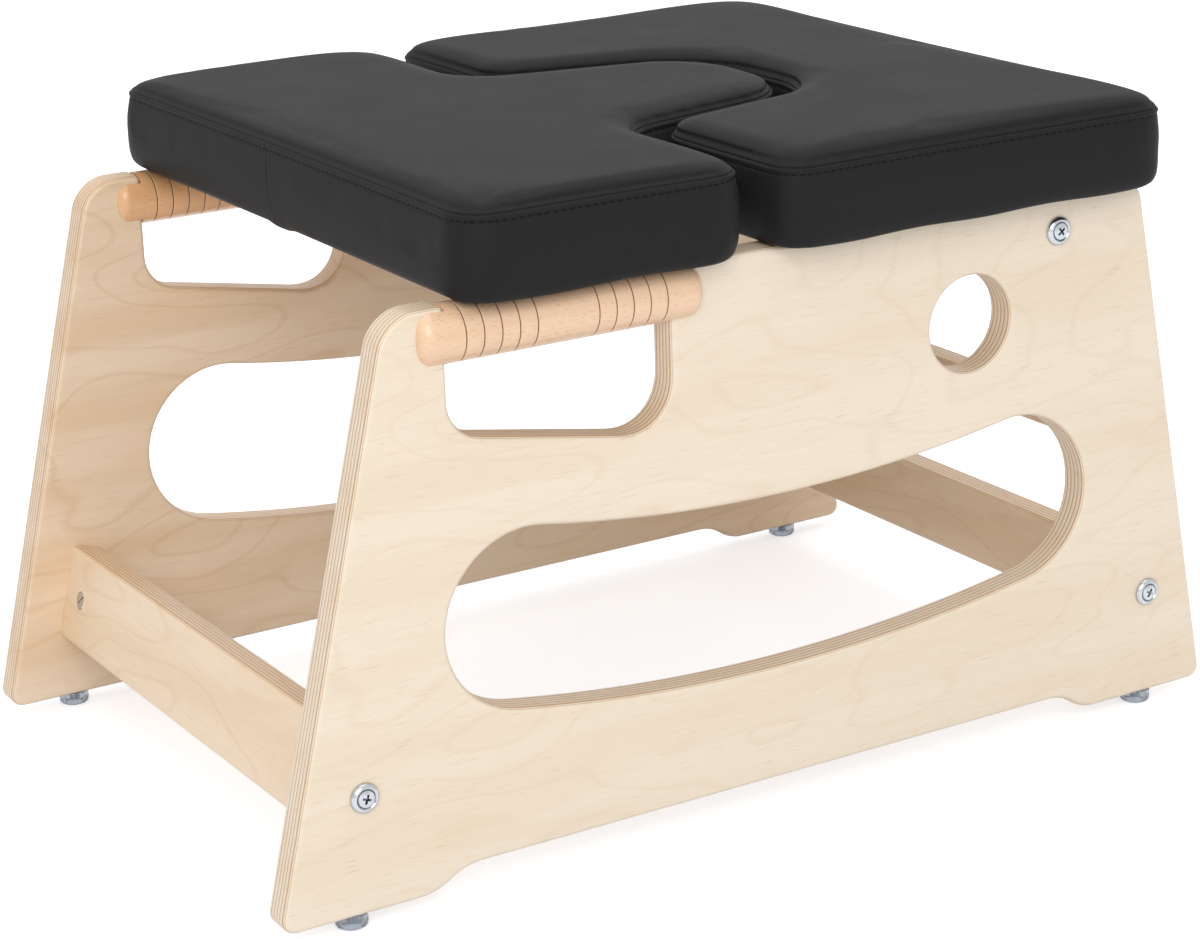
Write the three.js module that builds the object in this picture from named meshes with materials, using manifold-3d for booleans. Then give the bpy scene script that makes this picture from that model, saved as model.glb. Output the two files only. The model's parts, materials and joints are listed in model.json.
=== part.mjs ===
// A yoga headstand stool. Two plywood side panels on glide feet carry a U-shaped shoulder cushion.
// A second cushion with a tongue lifts off, which opens the neck recess between the arms of the first.
// Millimetres. +X runs to the rear, +Y to the far side and +Z up, from the floor under the middle.
import * as THREE from "three";
import { mergeVertices } from "three/addons/utils/BufferGeometryUtils.js";
import Module from "manifold-3d";

const wasm = await Module();
wasm.setup();

// Plywood and the width of the frame, from outer face to outer face
const ply = 18;
const edgeRound = 3;
const panelSpan = 374.4;

// Outline of a side panel
const baseLength = 590.8;
const panelTop = 310;
const glideHeight = 7.5;
const frontLeanDegrees = 13.55;
const rearLeanDegrees = 10.6;
const frontToeRadius = 8;
const frontShoulderRadius = 22;
const rearShoulderRadius = 12;
const rearToeRadius = 7;
const frontPad = 84.8;
const rearPad = 86.5;
const padRise = 11;
const frontRunOut = 19;
const rearRunOut = 16;
const frontRunOutRadius = 30;
const rearRunOutRadius = 24;

// Hand notch in the top edge, with a sloping floor
const notchSetback = 32.6;
const notchLength = 127.5;
const notchFrontDepth = 65.1;
const notchRearDepth = 88.1;
const notchFrontRadius = 20;
const notchRearRadius = 26;

// Curved slot and round hole
const slotHalfWidth = 47.4;
const slotArcRadius = 905;
const slotHalfSpan = 154.8;
const slotHeight = 129.7;
const slotOffset = 3.4;
const holeRadius = 26.3;
const holeSetback = 127;
const holeDrop = 61.7;

// Round grips that bridge the notches
const gripRadius = 15;
const gripFrontLap = 16;
const gripRearLap = 18;
const gripOutset = 1.5;
const gripEndRound = 8;
const groovePitch = 9.9;
const grooveWidth = 1.6;
const grooveDepth = 0.9;
const frontGrooveInset = 7.7;
const rearGrooveInset = 5.8;

// Cross rails between the panels
const frontRailHeight = 55;
const frontRailSetback = 33.3;
const frontRailLevel = 70.5;
const rearRailHeight = 46;
const rearRailSetback = 32.2;
const rearRailLevel = 69;
const topRailHeight = 39;
const topRailSetback = 61;
const stretcherHeight = 18;
const stretcherSetback = 30.9;
const stretcherLevel = 165.5;

// Bolts with cup washers and barrel nuts, and the dowels beside them
const boltRadius = 3;
const boltHeadRadius = 5.6;
const boltHeadDepth = 2.3;
const boltTip = 4;
const washerRadius = 8;
const washerHeight = 3;
const nutRadius = 5;
const nutLength = 14;
const nutSetback = 20;
const dowelRadius = 4;
const dowelInPanel = 11;
const dowelInRail = 19;
const dowelChamfer = 0.8;
const frontDowelDrop = 16;
const rearDowelDrop = 14;
const topDowelDrop = 12;

// Glide feet and their screws
const footRadius = 8.5;
const footInset = 41;
const footRecessRadius = 4.9;
const footRecessDepth = 3.6;
const footTreadRadius = 2;
const footScrewRadius = 1.75;
const footScrewHeadRadius = 4.3;
const footScrewHeadHeight = 1.9;
const footScrewLength = 20;

// Cushions: covers round a plywood board and a foam block
const bandHeight = 42.3;
const crownRise = 8;
const crownRun = 17;
const hemDrawIn = 6.5;
const hemRoll = 13;
const seamDrawIn = 3.3;
const coverThickness = 1.6;
const hemWidth = 18;
const boardThickness = 12;
const frontCushionSetback = 2;
const frontCushionDepth = 166.5;
const frontCushionOverhang = 18.5;
const frontCornerRadius = 22;
const shoulderRadius = 24;
const tongueReachShare = 0.49858;
const tongueRootHalf = 84.3;
const tongueTipHalf = 51.3;
const tongueTipRadius = 50;
const tongueFillet = 28;
const cushionGap = 16;
const rearCushionSideOverhang = 20;
const rearCushionEndOverhang = 7;
const armRadius = 18;
const rearCornerRadius = 26;
const recessGap = 9;
const recessEndGap = 11;
const recessMouthRadius = 22;
const smallestCorner = 1;

// Battens that keep the lift-off cushion between the panels, and the cushions' screws
const battenLength = 86;
const battenHeight = 18;
const battenWidth = 14;
const battenSetback = 46;
const battenClearance = 2;
const battenScrewInset = 15;
const battenScrewSink = 6;
const cushionScrewRadius = 2.2;
const cushionScrewHeadRadius = 4.4;
const cushionScrewHeadHeight = 2.4;
const cushionScrewBite = 9;
const cushionScrewSetback = 59.2;
const cushionScrewSink = 12;

// Clearances, and how far a cutting tool runs past the face it cuts
const seat = 0.1;
const play = 0.3;
const overrun = 2;

// Steps in curves
const cornerSteps = 6;
const slotSteps = 14;
const capSteps = 10;
const holeSteps = 26;
const edgeSteps = 2;
const gripSteps = 20;
const roundSteps = 3;
const grooveCount = 5;
const boltSteps = 14;
const smallSteps = 8;
const bandSteps = 4;
const crownSteps = 4;

// Lines and places that everything else follows
const panelInner = panelSpan / 2 - ply;
const panelMiddle = panelSpan / 2 - ply / 2;
const cushionScrewOffset = panelInner - cushionScrewSetback;
const frontSlope = Math.tan(THREE.MathUtils.degToRad(frontLeanDegrees));
const rearSlope = Math.tan(THREE.MathUtils.degToRad(rearLeanDegrees));
const frontEdge = (z) => edgeFoot(frontSlope, frontToeRadius) * -1 + frontSlope * z;
const rearEdge = (z) => edgeFoot(rearSlope, rearToeRadius) - rearSlope * z;
const notchFront = frontEdge(panelTop) + notchSetback;
const notchRear = notchFront + notchLength;
const gripAxis = panelTop - gripRadius;
const gripInner = panelMiddle + gripOutset - gripRadius;
const cushionFront = notchFront + frontCushionSetback;
const shoulder = cushionFront + frontCushionDepth;
const rearCushionEnd = rearEdge(panelTop) + rearCushionEndOverhang;
const tongueReach = (rearCushionEnd - shoulder) * tongueReachShare;
const tongueTip = shoulder + tongueReach;
const armFront = shoulder + cushionGap;
const crownTop = bandHeight + crownRise;
const headTop = washerHeight - play;
const headFoot = headTop - boltHeadDepth;

// Where a leaning edge would meet the floor, so that its rounded toe ends at half the base length
function edgeFoot(slope, radius) {
  const toeLevel = glideHeight + radius;
  const leanAllowance = radius * (Math.hypot(1, slope) - 1);
  return baseLength / 2 + slope * toeLevel + leanAllowance;
}

const rails = {
  front: {
    x: frontEdge(frontRailLevel) + frontRailSetback / Math.cos(Math.atan(frontSlope)),
    z: frontRailLevel,
    lean: Math.atan(frontSlope),
    height: frontRailHeight,
    dowelDrop: frontDowelDrop,
    nutFacing: -1,
  },
  rear: {
    x: rearEdge(rearRailLevel) - rearRailSetback,
    z: rearRailLevel,
    lean: 0,
    height: rearRailHeight,
    dowelDrop: rearDowelDrop,
    nutFacing: 1,
  },
  top: {
    x: rearEdge(panelTop - topRailHeight / 2) - topRailSetback,
    z: panelTop - topRailHeight / 2,
    lean: 0,
    height: topRailHeight,
    dowelDrop: topDowelDrop,
    nutFacing: 1,
  },
};
const stretcher = {
  x: rearEdge(stretcherLevel) - stretcherSetback,
  z: stretcherLevel,
  lean: 0,
  height: stretcherHeight,
  dowelDrop: 0,
};
const crossPieces = [...Object.values(rails), stretcher];
const footPlaces = { front: footInset - baseLength / 2, rear: baseLength / 2 - footInset };
const sides = { near: -1, far: 1 };

// Finishes
const finish = {
  panel: { color: 0xe6d3b4, roughness: 0.5, metalness: 0 },
  rail: { color: 0xd9c19c, roughness: 0.5, metalness: 0 },
  grip: { color: 0xd9a57c, roughness: 0.35, metalness: 0 },
  dowel: { color: 0xcfa878, roughness: 0.6, metalness: 0 },
  zinc: { color: 0xb9bcc0, roughness: 0.35, metalness: 0.9 },
  foot: { color: 0x9fa8b0, roughness: 0.45, metalness: 0 },
  cover: { color: 0x3a3a3c, roughness: 0.55, metalness: 0 },
  foam: { color: 0xe8dcae, roughness: 0.95, metalness: 0 },
  board: { color: 0xc9ac7e, roughness: 0.7, metalness: 0 },
};

function named(name, geometry, look) {
  const mesh = new THREE.Mesh(geometry, new THREE.MeshStandardMaterial(look));
  mesh.name = name;
  return mesh;
}

// A closed geometry as a solid, and a solid as a geometry again
function toSolid(geometry) {
  const bare = geometry.clone();
  bare.deleteAttribute("normal");
  bare.deleteAttribute("uv");
  const merged = mergeVertices(bare);
  const vertProperties = merged.attributes.position.array;
  const triVerts = new Uint32Array(merged.index.array);
  return new wasm.Manifold(new wasm.Mesh({ numProp: 3, vertProperties, triVerts }));
}

function toGeometry(solid) {
  const mesh = solid.getMesh();
  const geometry = new THREE.BufferGeometry();
  geometry.setAttribute("position", new THREE.BufferAttribute(mesh.vertProperties, mesh.numProp));
  geometry.setIndex(new THREE.BufferAttribute(mesh.triVerts, 1));
  geometry.computeVertexNormals();
  return geometry;
}

function cut(geometry, tools) {
  let solid = toSolid(geometry);
  for (const tool of tools) {
    solid = solid.subtract(toSolid(tool));
  }
  return toGeometry(solid);
}

// Round cutters along each axis, centred on a point
const cutterX = (radius, length, steps) =>
  new THREE.CylinderGeometry(radius, radius, length, steps).rotateZ(Math.PI / 2);
const cutterY = (radius, length, steps) => new THREE.CylinderGeometry(radius, radius, length, steps);
const cutterZ = (radius, length, steps) =>
  new THREE.CylinderGeometry(radius, radius, length, steps).rotateX(Math.PI / 2);

// A turned piece from [radius, height] pairs, written from the bottom up
function turned(profile, steps) {
  return new THREE.LatheGeometry(profile.map(([radius, height]) => new THREE.Vector2(radius, height)), steps);
}

function arcPoints(centreX, centreY, radius, from, to, steps) {
  const points = [];
  for (let step = 0; step <= steps; step += 1) {
    const angle = from + ((to - from) * step) / steps;
    points.push(new THREE.Vector2(centreX + radius * Math.cos(angle), centreY + radius * Math.sin(angle)));
  }
  return points;
}

// The directions into and out of a corner of a closed outline, and the turn between them
function cornerTurn(corners, index) {
  const { x, y } = corners[index];
  const before = corners.at(index - 1);
  const after = corners[(index + 1) % corners.length];
  const arriving = new THREE.Vector2(x - before.x, y - before.y).normalize();
  const leaving = new THREE.Vector2(after.x - x, after.y - y).normalize();
  const turn = Math.atan2(arriving.cross(leaving), arriving.dot(leaving));
  return { arriving, leaving, turn };
}

// An outline from its sharp corners, each rounded by its own radius
function roundedOutline(corners, steps = cornerSteps) {
  return corners.flatMap(({ x, y, radius }, index) => {
    if (!radius) {
      return [new THREE.Vector2(x, y)];
    }
    const { arriving, turn } = cornerTurn(corners, index);
    const start = new THREE.Vector2(x, y).addScaledVector(arriving, -radius * Math.tan(Math.abs(turn) / 2));
    const toCentre = new THREE.Vector2(-arriving.y, arriving.x).multiplyScalar(radius * Math.sign(turn));
    const centre = start.clone().add(toCentre);
    const from = Math.atan2(-toCentre.y, -toCentre.x);
    return arcPoints(centre.x, centre.y, radius, from, from + turn, steps);
  });
}

// The same corners moved inwards, for an outline that runs anticlockwise
function insetCorners(corners, inset) {
  return corners.map(({ x, y, radius }, index) => {
    const { arriving, leaving, turn } = cornerTurn(corners, index);
    const across = new THREE.Vector2(-arriving.y - leaving.y, arriving.x + leaving.x);
    const reach = inset / (1 + arriving.dot(leaving));
    const insetRadius = radius - inset * Math.sign(turn);
    return { x: x + across.x * reach, y: y + across.y * reach, radius: Math.max(insetRadius, smallestCorner) };
  });
}

// Outline of a side panel in the plane of its face, anticlockwise from the front toe
function panelOutline() {
  const relief = glideHeight + padRise;
  const frontPadEnd = frontPad - baseLength / 2;
  const rearPadEnd = baseLength / 2 - rearPad;
  return roundedOutline([
    { x: frontEdge(glideHeight), y: glideHeight, radius: frontToeRadius },
    { x: frontPadEnd, y: glideHeight, radius: frontRunOutRadius },
    { x: frontPadEnd + frontRunOut, y: relief, radius: frontRunOutRadius },
    { x: rearPadEnd - rearRunOut, y: relief, radius: rearRunOutRadius },
    { x: rearPadEnd, y: glideHeight, radius: rearRunOutRadius },
    { x: rearEdge(glideHeight), y: glideHeight, radius: rearToeRadius },
    { x: rearEdge(panelTop), y: panelTop, radius: rearShoulderRadius },
    { x: notchRear, y: panelTop, radius: 0 },
    { x: notchRear, y: panelTop - notchRearDepth, radius: notchRearRadius },
    { x: notchFront, y: panelTop - notchFrontDepth, radius: notchFrontRadius },
    { x: notchFront, y: panelTop, radius: 0 },
    { x: frontEdge(panelTop), y: panelTop, radius: frontShoulderRadius },
  ]);
}

// The curved slot keeps one width along a shallow arc and ends in half rounds
function slotOutline() {
  const centreY = slotHeight + slotArcRadius;
  const spread = Math.asin(slotHalfSpan / slotArcRadius);
  const down = -Math.PI / 2;
  const endX = slotArcRadius * Math.sin(spread);
  const endY = centreY - slotArcRadius * Math.cos(spread);
  const lower = slotArcRadius + slotHalfWidth;
  const upper = slotArcRadius - slotHalfWidth;
  const right = down + spread;
  const left = down - spread;
  return [
    ...arcPoints(slotOffset, centreY, lower, left, right, slotSteps),
    ...arcPoints(slotOffset + endX, endY, slotHalfWidth, right, right + Math.PI, capSteps).slice(1),
    ...arcPoints(slotOffset, centreY, upper, right, left, slotSteps).slice(1),
    ...arcPoints(slotOffset - endX, endY, slotHalfWidth, left + Math.PI, left + 2 * Math.PI, capSteps).slice(1, -1),
  ];
}

function holeOutline() {
  const centreY = panelTop - holeDrop;
  const centreX = rearEdge(centreY) - holeSetback;
  return arcPoints(centreX, centreY, holeRadius, 0, 2 * Math.PI, holeSteps).slice(0, -1);
}

// A point of a rail's own upright, in the frame of the stool
function alongRail(rail, rise) {
  return { x: rail.x + rise * Math.sin(rail.lean), z: rail.z + rise * Math.cos(rail.lean) };
}

// Bolt bores go through a panel, dowel bores stop inside it and foot screws come up from its lower edge
function panelBores(inward) {
  const bores = Object.values(rails).map((rail) =>
    cutterZ(boltRadius + play, ply + overrun, boltSteps).translate(rail.x, rail.z, 0),
  );
  for (const rail of crossPieces) {
    const place = alongRail(rail, -rail.dowelDrop);
    const length = dowelInPanel + play + overrun;
    const depth = -inward * (ply / 2 + overrun - length / 2);
    bores.push(cutterZ(dowelRadius + play, length, boltSteps).translate(place.x, place.z, depth));
  }
  for (const x of Object.values(footPlaces)) {
    const length = footScrewLength + overrun;
    bores.push(cutterY(footScrewRadius + play, length * 2, smallSteps).translate(x, glideHeight, 0));
  }
  return bores;
}

function sidePanel(sideName, side) {
  const shape = new THREE.Shape(panelOutline());
  shape.holes.push(new THREE.Path(slotOutline()), new THREE.Path(holeOutline()));
  const depth = ply - 2 * edgeRound;
  const board = new THREE.ExtrudeGeometry(shape, {
    depth,
    bevelThickness: edgeRound,
    bevelSize: edgeRound,
    bevelOffset: -edgeRound,
    bevelSegments: edgeSteps,
  }).translate(0, 0, -depth / 2);
  const panel = named(`side_panel_${sideName}`, cut(board, panelBores(-side)), finish.panel);
  panel.rotation.x = Math.PI / 2;
  panel.position.y = side * panelMiddle;
  return panel;
}

// A turned beech grip with two groups of finger grooves and forked ends that straddle the panel
function gripProfile() {
  const start = -gripFrontLap;
  const end = notchLength + gripRearLap;
  const grooveGroup = (first) =>
    Array.from({ length: grooveCount }, (_, index) => first + index * groovePitch).flatMap((middle) => [
      [gripRadius, middle - grooveWidth / 2],
      [gripRadius - grooveDepth, middle],
      [gripRadius, middle + grooveWidth / 2],
    ]);
  const endRound = (along) => [
    [0, along(0)],
    ...Array.from({ length: roundSteps + 1 }, (_, step) => {
      const angle = (Math.PI / 2) * (step / roundSteps);
      const inset = gripEndRound * (1 - Math.sin(angle));
      return [gripRadius - inset, along(gripEndRound * (1 - Math.cos(angle)))];
    }),
  ];
  const lastGroove = notchLength - rearGrooveInset;
  return [
    ...endRound((rise) => start + rise),
    ...grooveGroup(frontGrooveInset),
    ...grooveGroup(lastGroove - (grooveCount - 1) * groovePitch),
    ...endRound((rise) => end - rise).reverse(),
  ];
}

function grip(sideName, side) {
  const fork = (length, middle) =>
    new THREE.BoxGeometry(ply + 2 * seat, length, 2 * (gripRadius + overrun))
      .translate(gripOutset * side, middle, 0);
  const frontFork = gripFrontLap + overrun;
  const rearFork = gripRearLap + overrun;
  const forks = [
    fork(frontFork, seat - frontFork / 2),
    fork(rearFork, notchLength - seat + rearFork / 2),
  ];
  const rod = named(`grip_${sideName}`, cut(turned(gripProfile(), gripSteps), forks), finish.grip);
  rod.rotation.z = -Math.PI / 2;
  rod.position.set(notchFront, side * (panelMiddle + gripOutset), gripAxis);
  return rod;
}

// A cross rail: its section with rounded edges, run from panel to panel
function railBody(rail) {
  const section = [
    { x: -ply / 2, y: -rail.height / 2, radius: edgeRound },
    { x: ply / 2, y: -rail.height / 2, radius: edgeRound },
    { x: ply / 2, y: rail.height / 2, radius: edgeRound },
    { x: -ply / 2, y: rail.height / 2, radius: edgeRound },
  ];
  const depth = 2 * (panelInner - seat);
  const shape = new THREE.Shape(roundedOutline(section, edgeSteps));
  return new THREE.ExtrudeGeometry(shape, { depth, bevelEnabled: false }).translate(0, 0, -depth / 2);
}

function railBores(rail) {
  const bores = [];
  for (const side of Object.values(sides)) {
    const endBore = (radius, depth, rise) =>
      cutterZ(radius, depth + overrun, boltSteps).translate(0, rise, side * (panelInner + (overrun - depth) / 2));
    bores.push(endBore(dowelRadius + play, dowelInRail + play, -rail.dowelDrop));
    if (rail.nutFacing) {
      const nutBore = nutLength + play + overrun;
      const nutX = rail.nutFacing * (ply / 2 + overrun - nutBore / 2);
      bores.push(endBore(boltRadius + play, nutSetback + nutRadius + boltTip + play, 0));
      bores.push(cutterX(nutRadius + play, nutBore, boltSteps).translate(nutX, 0, side * (panelInner - nutSetback)));
    }
  }
  return bores;
}

function crossPiece(name, rail, extraBores = []) {
  const geometry = cut(railBody(rail), [...railBores(rail), ...extraBores]);
  const piece = named(name, geometry, finish.rail);
  piece.rotation.x = Math.PI / 2;
  return piece;
}

// Dowels join every rail end to its panel
function dowel(name, side, rail) {
  const half = (dowelInPanel + dowelInRail) / 2;
  const geometry = turned(
    [
      [0, -half],
      [dowelRadius - dowelChamfer, -half],
      [dowelRadius, dowelChamfer - half],
      [dowelRadius, half - dowelChamfer],
      [dowelRadius - dowelChamfer, half],
      [0, half],
    ],
    smallSteps,
  );
  const pin = named(name, geometry, finish.dowel);
  pin.position.set(0, side * (panelInner + dowelInPanel - half), -rail.dowelDrop);
  return pin;
}

// A barrel nut lies across its rail with a bore for the bolt, one end level with the rail's outer face
function barrelNut(name, side, rail) {
  const shift = (rail.nutFacing * (ply - nutLength)) / 2;
  const threadBore = cutterY(boltRadius + seat, 2 * (nutRadius + overrun), boltSteps).translate(-shift, 0, 0);
  const geometry = cut(cutterX(nutRadius, nutLength, boltSteps), [threadBore]);
  const nut = named(name, geometry, finish.zinc);
  nut.position.set(shift, side * (panelInner - nutSetback), 0);
  return nut;
}

// Countersunk bolt, measured from the panel's outer face, in a domed cup washer
function bolt(name, side) {
  const tip = -(ply + nutSetback + nutRadius + boltTip - overrun);
  const geometry = turned(
    [
      [0, tip],
      [boltRadius - seat, tip],
      [boltRadius - seat, headFoot],
      [boltHeadRadius, headTop - play],
      [boltHeadRadius, headTop],
      [0, headTop],
    ],
    boltSteps,
  );
  return againstPanel(named(name, geometry, finish.zinc), side);
}

function cupWasher(name, side) {
  const bore = boltRadius + play;
  const rim = boltHeadRadius + play;
  const crest = (washerRadius + rim) / 2;
  const geometry = turned(
    [
      [bore, seat],
      [washerRadius, seat],
      [washerRadius, washerHeight / 4],
      [crest, washerHeight],
      [rim, washerHeight],
      [rim, headTop - play],
      [bore, headFoot],
      [bore, seat],
    ],
    boltSteps,
  );
  return againstPanel(named(name, geometry, finish.zinc), side);
}

function againstPanel(mesh, side) {
  mesh.rotation.x = side > 0 ? 0 : Math.PI;
  mesh.position.y = (side * panelSpan) / 2;
  return mesh;
}

// One rail with everything that joins it to both panels
function railGroup(railName, rail) {
  const group = new THREE.Group();
  const pieceName = { front: "front_rail", rear: "rear_rail", top: "top_rear_rail" }[railName];
  group.add(crossPiece(pieceName, rail, railName === "top" ? cushionScrewBores() : []));
  for (const [sideName, side] of Object.entries(sides)) {
    group.add(dowel(`dowel_${railName}_${sideName}`, side, rail));
    group.add(barrelNut(`barrel_nut_${railName}_${sideName}`, side, rail));
    group.add(bolt(`bolt_${railName}_${sideName}`, side));
    group.add(cupWasher(`cup_washer_${railName}_${sideName}`, side));
  }
  group.position.set(rail.x, 0, rail.z);
  group.rotation.y = rail.lean;
  return group;
}

function stretcherGroup() {
  const group = new THREE.Group();
  group.add(crossPiece("rear_stretcher", stretcher));
  for (const [sideName, side] of Object.entries(sides)) {
    group.add(dowel(`dowel_stretcher_${sideName}`, side, stretcher));
  }
  group.position.set(stretcher.x, 0, stretcher.z);
  return group;
}

// A clear glide foot with a rounded tread, and the screw sunk in its recess
function footGeometry() {
  const bore = footScrewRadius + play;
  const tread = footRadius - footTreadRadius;
  const rounding = Array.from({ length: roundSteps }, (_, step) => {
    const angle = (Math.PI / 2) * ((step + 1) / roundSteps);
    return [tread + footTreadRadius * Math.sin(angle), footTreadRadius * (1 - Math.cos(angle))];
  });
  return turned(
    [
      [footRecessRadius, 0],
      [tread, 0],
      ...rounding,
      [footRadius, glideHeight - seat],
      [bore, glideHeight - seat],
      [bore, footRecessDepth],
      [footRecessRadius, footRecessDepth],
      [footRecessRadius, 0],
    ],
    boltSteps,
  );
}

function footScrew(name) {
  const recessTop = footRecessDepth - play;
  const geometry = turned(
    [
      [0, recessTop - footScrewHeadHeight],
      [footScrewHeadRadius, recessTop - footScrewHeadHeight / 2],
      [footScrewHeadRadius, recessTop],
      [footScrewRadius, recessTop],
      [footScrewRadius, glideHeight + footScrewLength - 2 * overrun],
      [0, glideHeight + footScrewLength - overrun],
    ],
    smallSteps,
  );
  return named(name, geometry, finish.zinc);
}

function glideFoot(endName, x, sideName, side) {
  const group = new THREE.Group();
  group.add(named(`glide_foot_${endName}_${sideName}`, footGeometry(), finish.foot));
  group.add(footScrew(`foot_screw_${endName}_${sideName}`));
  group.rotation.x = Math.PI / 2;
  group.position.set(x, side * panelMiddle, 0);
  return group;
}

// Outlines of the cushions, seen from above and anticlockwise
function frontCushionCorners() {
  const half = panelSpan / 2 + frontCushionOverhang;
  const oneSide = [
    { x: cushionFront, y: -half, radius: frontCornerRadius },
    { x: shoulder, y: -half, radius: shoulderRadius },
    { x: shoulder, y: -tongueRootHalf, radius: tongueFillet },
    { x: tongueTip, y: -tongueTipHalf, radius: tongueTipRadius },
  ];
  return bothSides(oneSide);
}

function rearCushionCorners() {
  const half = panelSpan / 2 + rearCushionSideOverhang;
  const taper = (tongueRootHalf - tongueTipHalf) / tongueReach;
  const recessHalf = (x) => tongueRootHalf + recessGap * Math.hypot(1, taper) - taper * (x - shoulder);
  const recessEnd = tongueTip + recessEndGap;
  const oneSide = [
    { x: recessEnd, y: -recessHalf(recessEnd), radius: tongueTipRadius + recessGap },
    { x: armFront, y: -recessHalf(armFront), radius: recessMouthRadius },
    { x: armFront, y: -half, radius: armRadius },
    { x: rearCushionEnd, y: -half, radius: rearCornerRadius },
  ];
  return bothSides(oneSide);
}

function bothSides(oneSide) {
  const otherSide = oneSide.map(({ x, y, radius }) => ({ x, y: -y, radius })).reverse();
  return [...oneSide, ...otherSide];
}

// A solid skinned over a stack of outlines, each moved in by an inset and lifted to a height
function stacked(corners, levels) {
  const rings = levels.map(([inset, height]) =>
    roundedOutline(insetCorners(corners, inset)).map((point) => new THREE.Vector3(point.x, point.y, height)),
  );
  const size = rings[0].length;
  const faces = [];
  for (let level = 0; level + 1 < rings.length; level += 1) {
    for (let index = 0; index < size; index += 1) {
      const here = level * size + index;
      const next = level * size + ((index + 1) % size);
      faces.push(here, next, next + size, here, next + size, here + size);
    }
  }
  const lastStart = (rings.length - 1) * size;
  const capOf = (ring) => THREE.ShapeUtils.triangulateShape(ring.map(({ x, y }) => new THREE.Vector2(x, y)), []);
  capOf(rings[0]).forEach(([a, b, c]) => faces.push(a, c, b));
  capOf(rings.at(-1)).forEach(([a, b, c]) => faces.push(lastStart + a, lastStart + b, lastStart + c));
  const geometry = new THREE.BufferGeometry().setFromPoints(rings.flat());
  geometry.setIndex(faces);
  geometry.computeVertexNormals();
  return geometry;
}

// Heights of a crown that rises from the seam as a quarter of an ellipse
function crownLevels(edge, base, rise, steps) {
  return Array.from({ length: steps }, (_, index) => {
    const angle = ((index + 1) / steps) * (Math.PI / 2);
    return [edge + (crownRun - edge) * (1 - Math.cos(angle)), base + rise * Math.sin(angle)];
  });
}

// The band rolls out from its hem, stands nearly upright and is drawn in a little at the seam
function bandLevels(steps) {
  const roll = Array.from({ length: steps }, (_, index) => {
    const angle = (index / (steps - 1)) * (Math.PI / 2);
    return [hemDrawIn * (1 - Math.sin(angle)), hemRoll * (1 - Math.cos(angle))];
  });
  return [...roll, [seamDrawIn, bandHeight]];
}

// The cover is one skin: inside crown, inside wall, the hem under the board, the band and the crown
function coverGeometry(corners) {
  const innerHem = hemDrawIn + coverThickness;
  const innerEdge = seamDrawIn + coverThickness;
  const innerSeam = bandHeight - coverThickness / 2;
  const innerRise = crownTop - coverThickness - innerSeam;
  const inside = [
    [hemWidth, coverThickness],
    [innerHem, coverThickness],
    [coverThickness, hemRoll],
    [innerEdge, innerSeam],
    ...crownLevels(innerEdge, innerSeam, innerRise, crownSteps / 2),
  ];
  const outside = [[hemWidth, 0], ...bandLevels(bandSteps), ...crownLevels(seamDrawIn, bandHeight, crownRise, crownSteps)];
  return stacked(corners, [...inside.reverse(), ...outside]);
}

const boardBottom = coverThickness + play;
const foamBottom = boardBottom + boardThickness + play;
const fillEdge = hemDrawIn + coverThickness + play;

function boardGeometry(corners) {
  return stacked(corners, [
    [fillEdge, boardBottom],
    [fillEdge, boardBottom + boardThickness],
  ]);
}

function foamGeometry(corners) {
  const top = crownTop - 2 * coverThickness;
  const edgeTop = bandHeight - 2 * coverThickness;
  return stacked(corners, [
    [fillEdge, foamBottom],
    [fillEdge, edgeTop],
    ...crownLevels(fillEdge + coverThickness, edgeTop, top - edgeTop, crownSteps / 2),
  ]);
}

function cushion(name, corners, boardBores) {
  const group = new THREE.Group();
  group.add(named(`${name}_cover`, coverGeometry(corners), finish.cover));
  group.add(named(`${name}_foam`, foamGeometry(corners), finish.foam));
  group.add(named(`${name}_board`, cut(boardGeometry(corners), boardBores), finish.board));
  group.position.z = panelTop;
  return group;
}

// A pan-head screw that points up, measured from the underside of its head
function cushionScrew(name, length) {
  const geometry = turned(
    [
      [0, -cushionScrewHeadHeight],
      [cushionScrewHeadRadius, -cushionScrewHeadHeight / 2],
      [cushionScrewHeadRadius, 0],
      [cushionScrewRadius, 0],
      [cushionScrewRadius, length - overrun],
      [0, length],
    ],
    smallSteps,
  );
  const screw = named(name, geometry, finish.zinc);
  screw.rotation.x = Math.PI / 2;
  return screw;
}

const screwPilot = () =>
  cutterZ(cushionScrewRadius + play, 2 * (cushionScrewBite + play), smallSteps);

// Stepped bores up through the top rail, in the rail's own frame
function cushionScrewBores() {
  return Object.values(sides).flatMap((side) => [
    cutterY(cushionScrewRadius + play, topRailHeight + overrun, smallSteps)
      .translate(0, 0, side * cushionScrewOffset),
    cutterY(cushionScrewHeadRadius + play, 2 * cushionScrewSink, smallSteps)
      .translate(0, -topRailHeight / 2, side * cushionScrewOffset),
  ]);
}

function rearCushion() {
  const pilots = Object.values(sides).map((side) =>
    screwPilot().translate(rails.top.x, side * cushionScrewOffset, boardBottom),
  );
  const group = cushion("rear_cushion", rearCushionCorners(), pilots);
  const headSeat = cushionScrewSink - topRailHeight - play;
  for (const [sideName, side] of Object.entries(sides)) {
    const screw = cushionScrew(`cushion_screw_${sideName}`, boardBottom + cushionScrewBite - headSeat);
    screw.position.set(rails.top.x, side * cushionScrewOffset, headSeat);
    group.add(screw);
  }
  return group;
}

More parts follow.
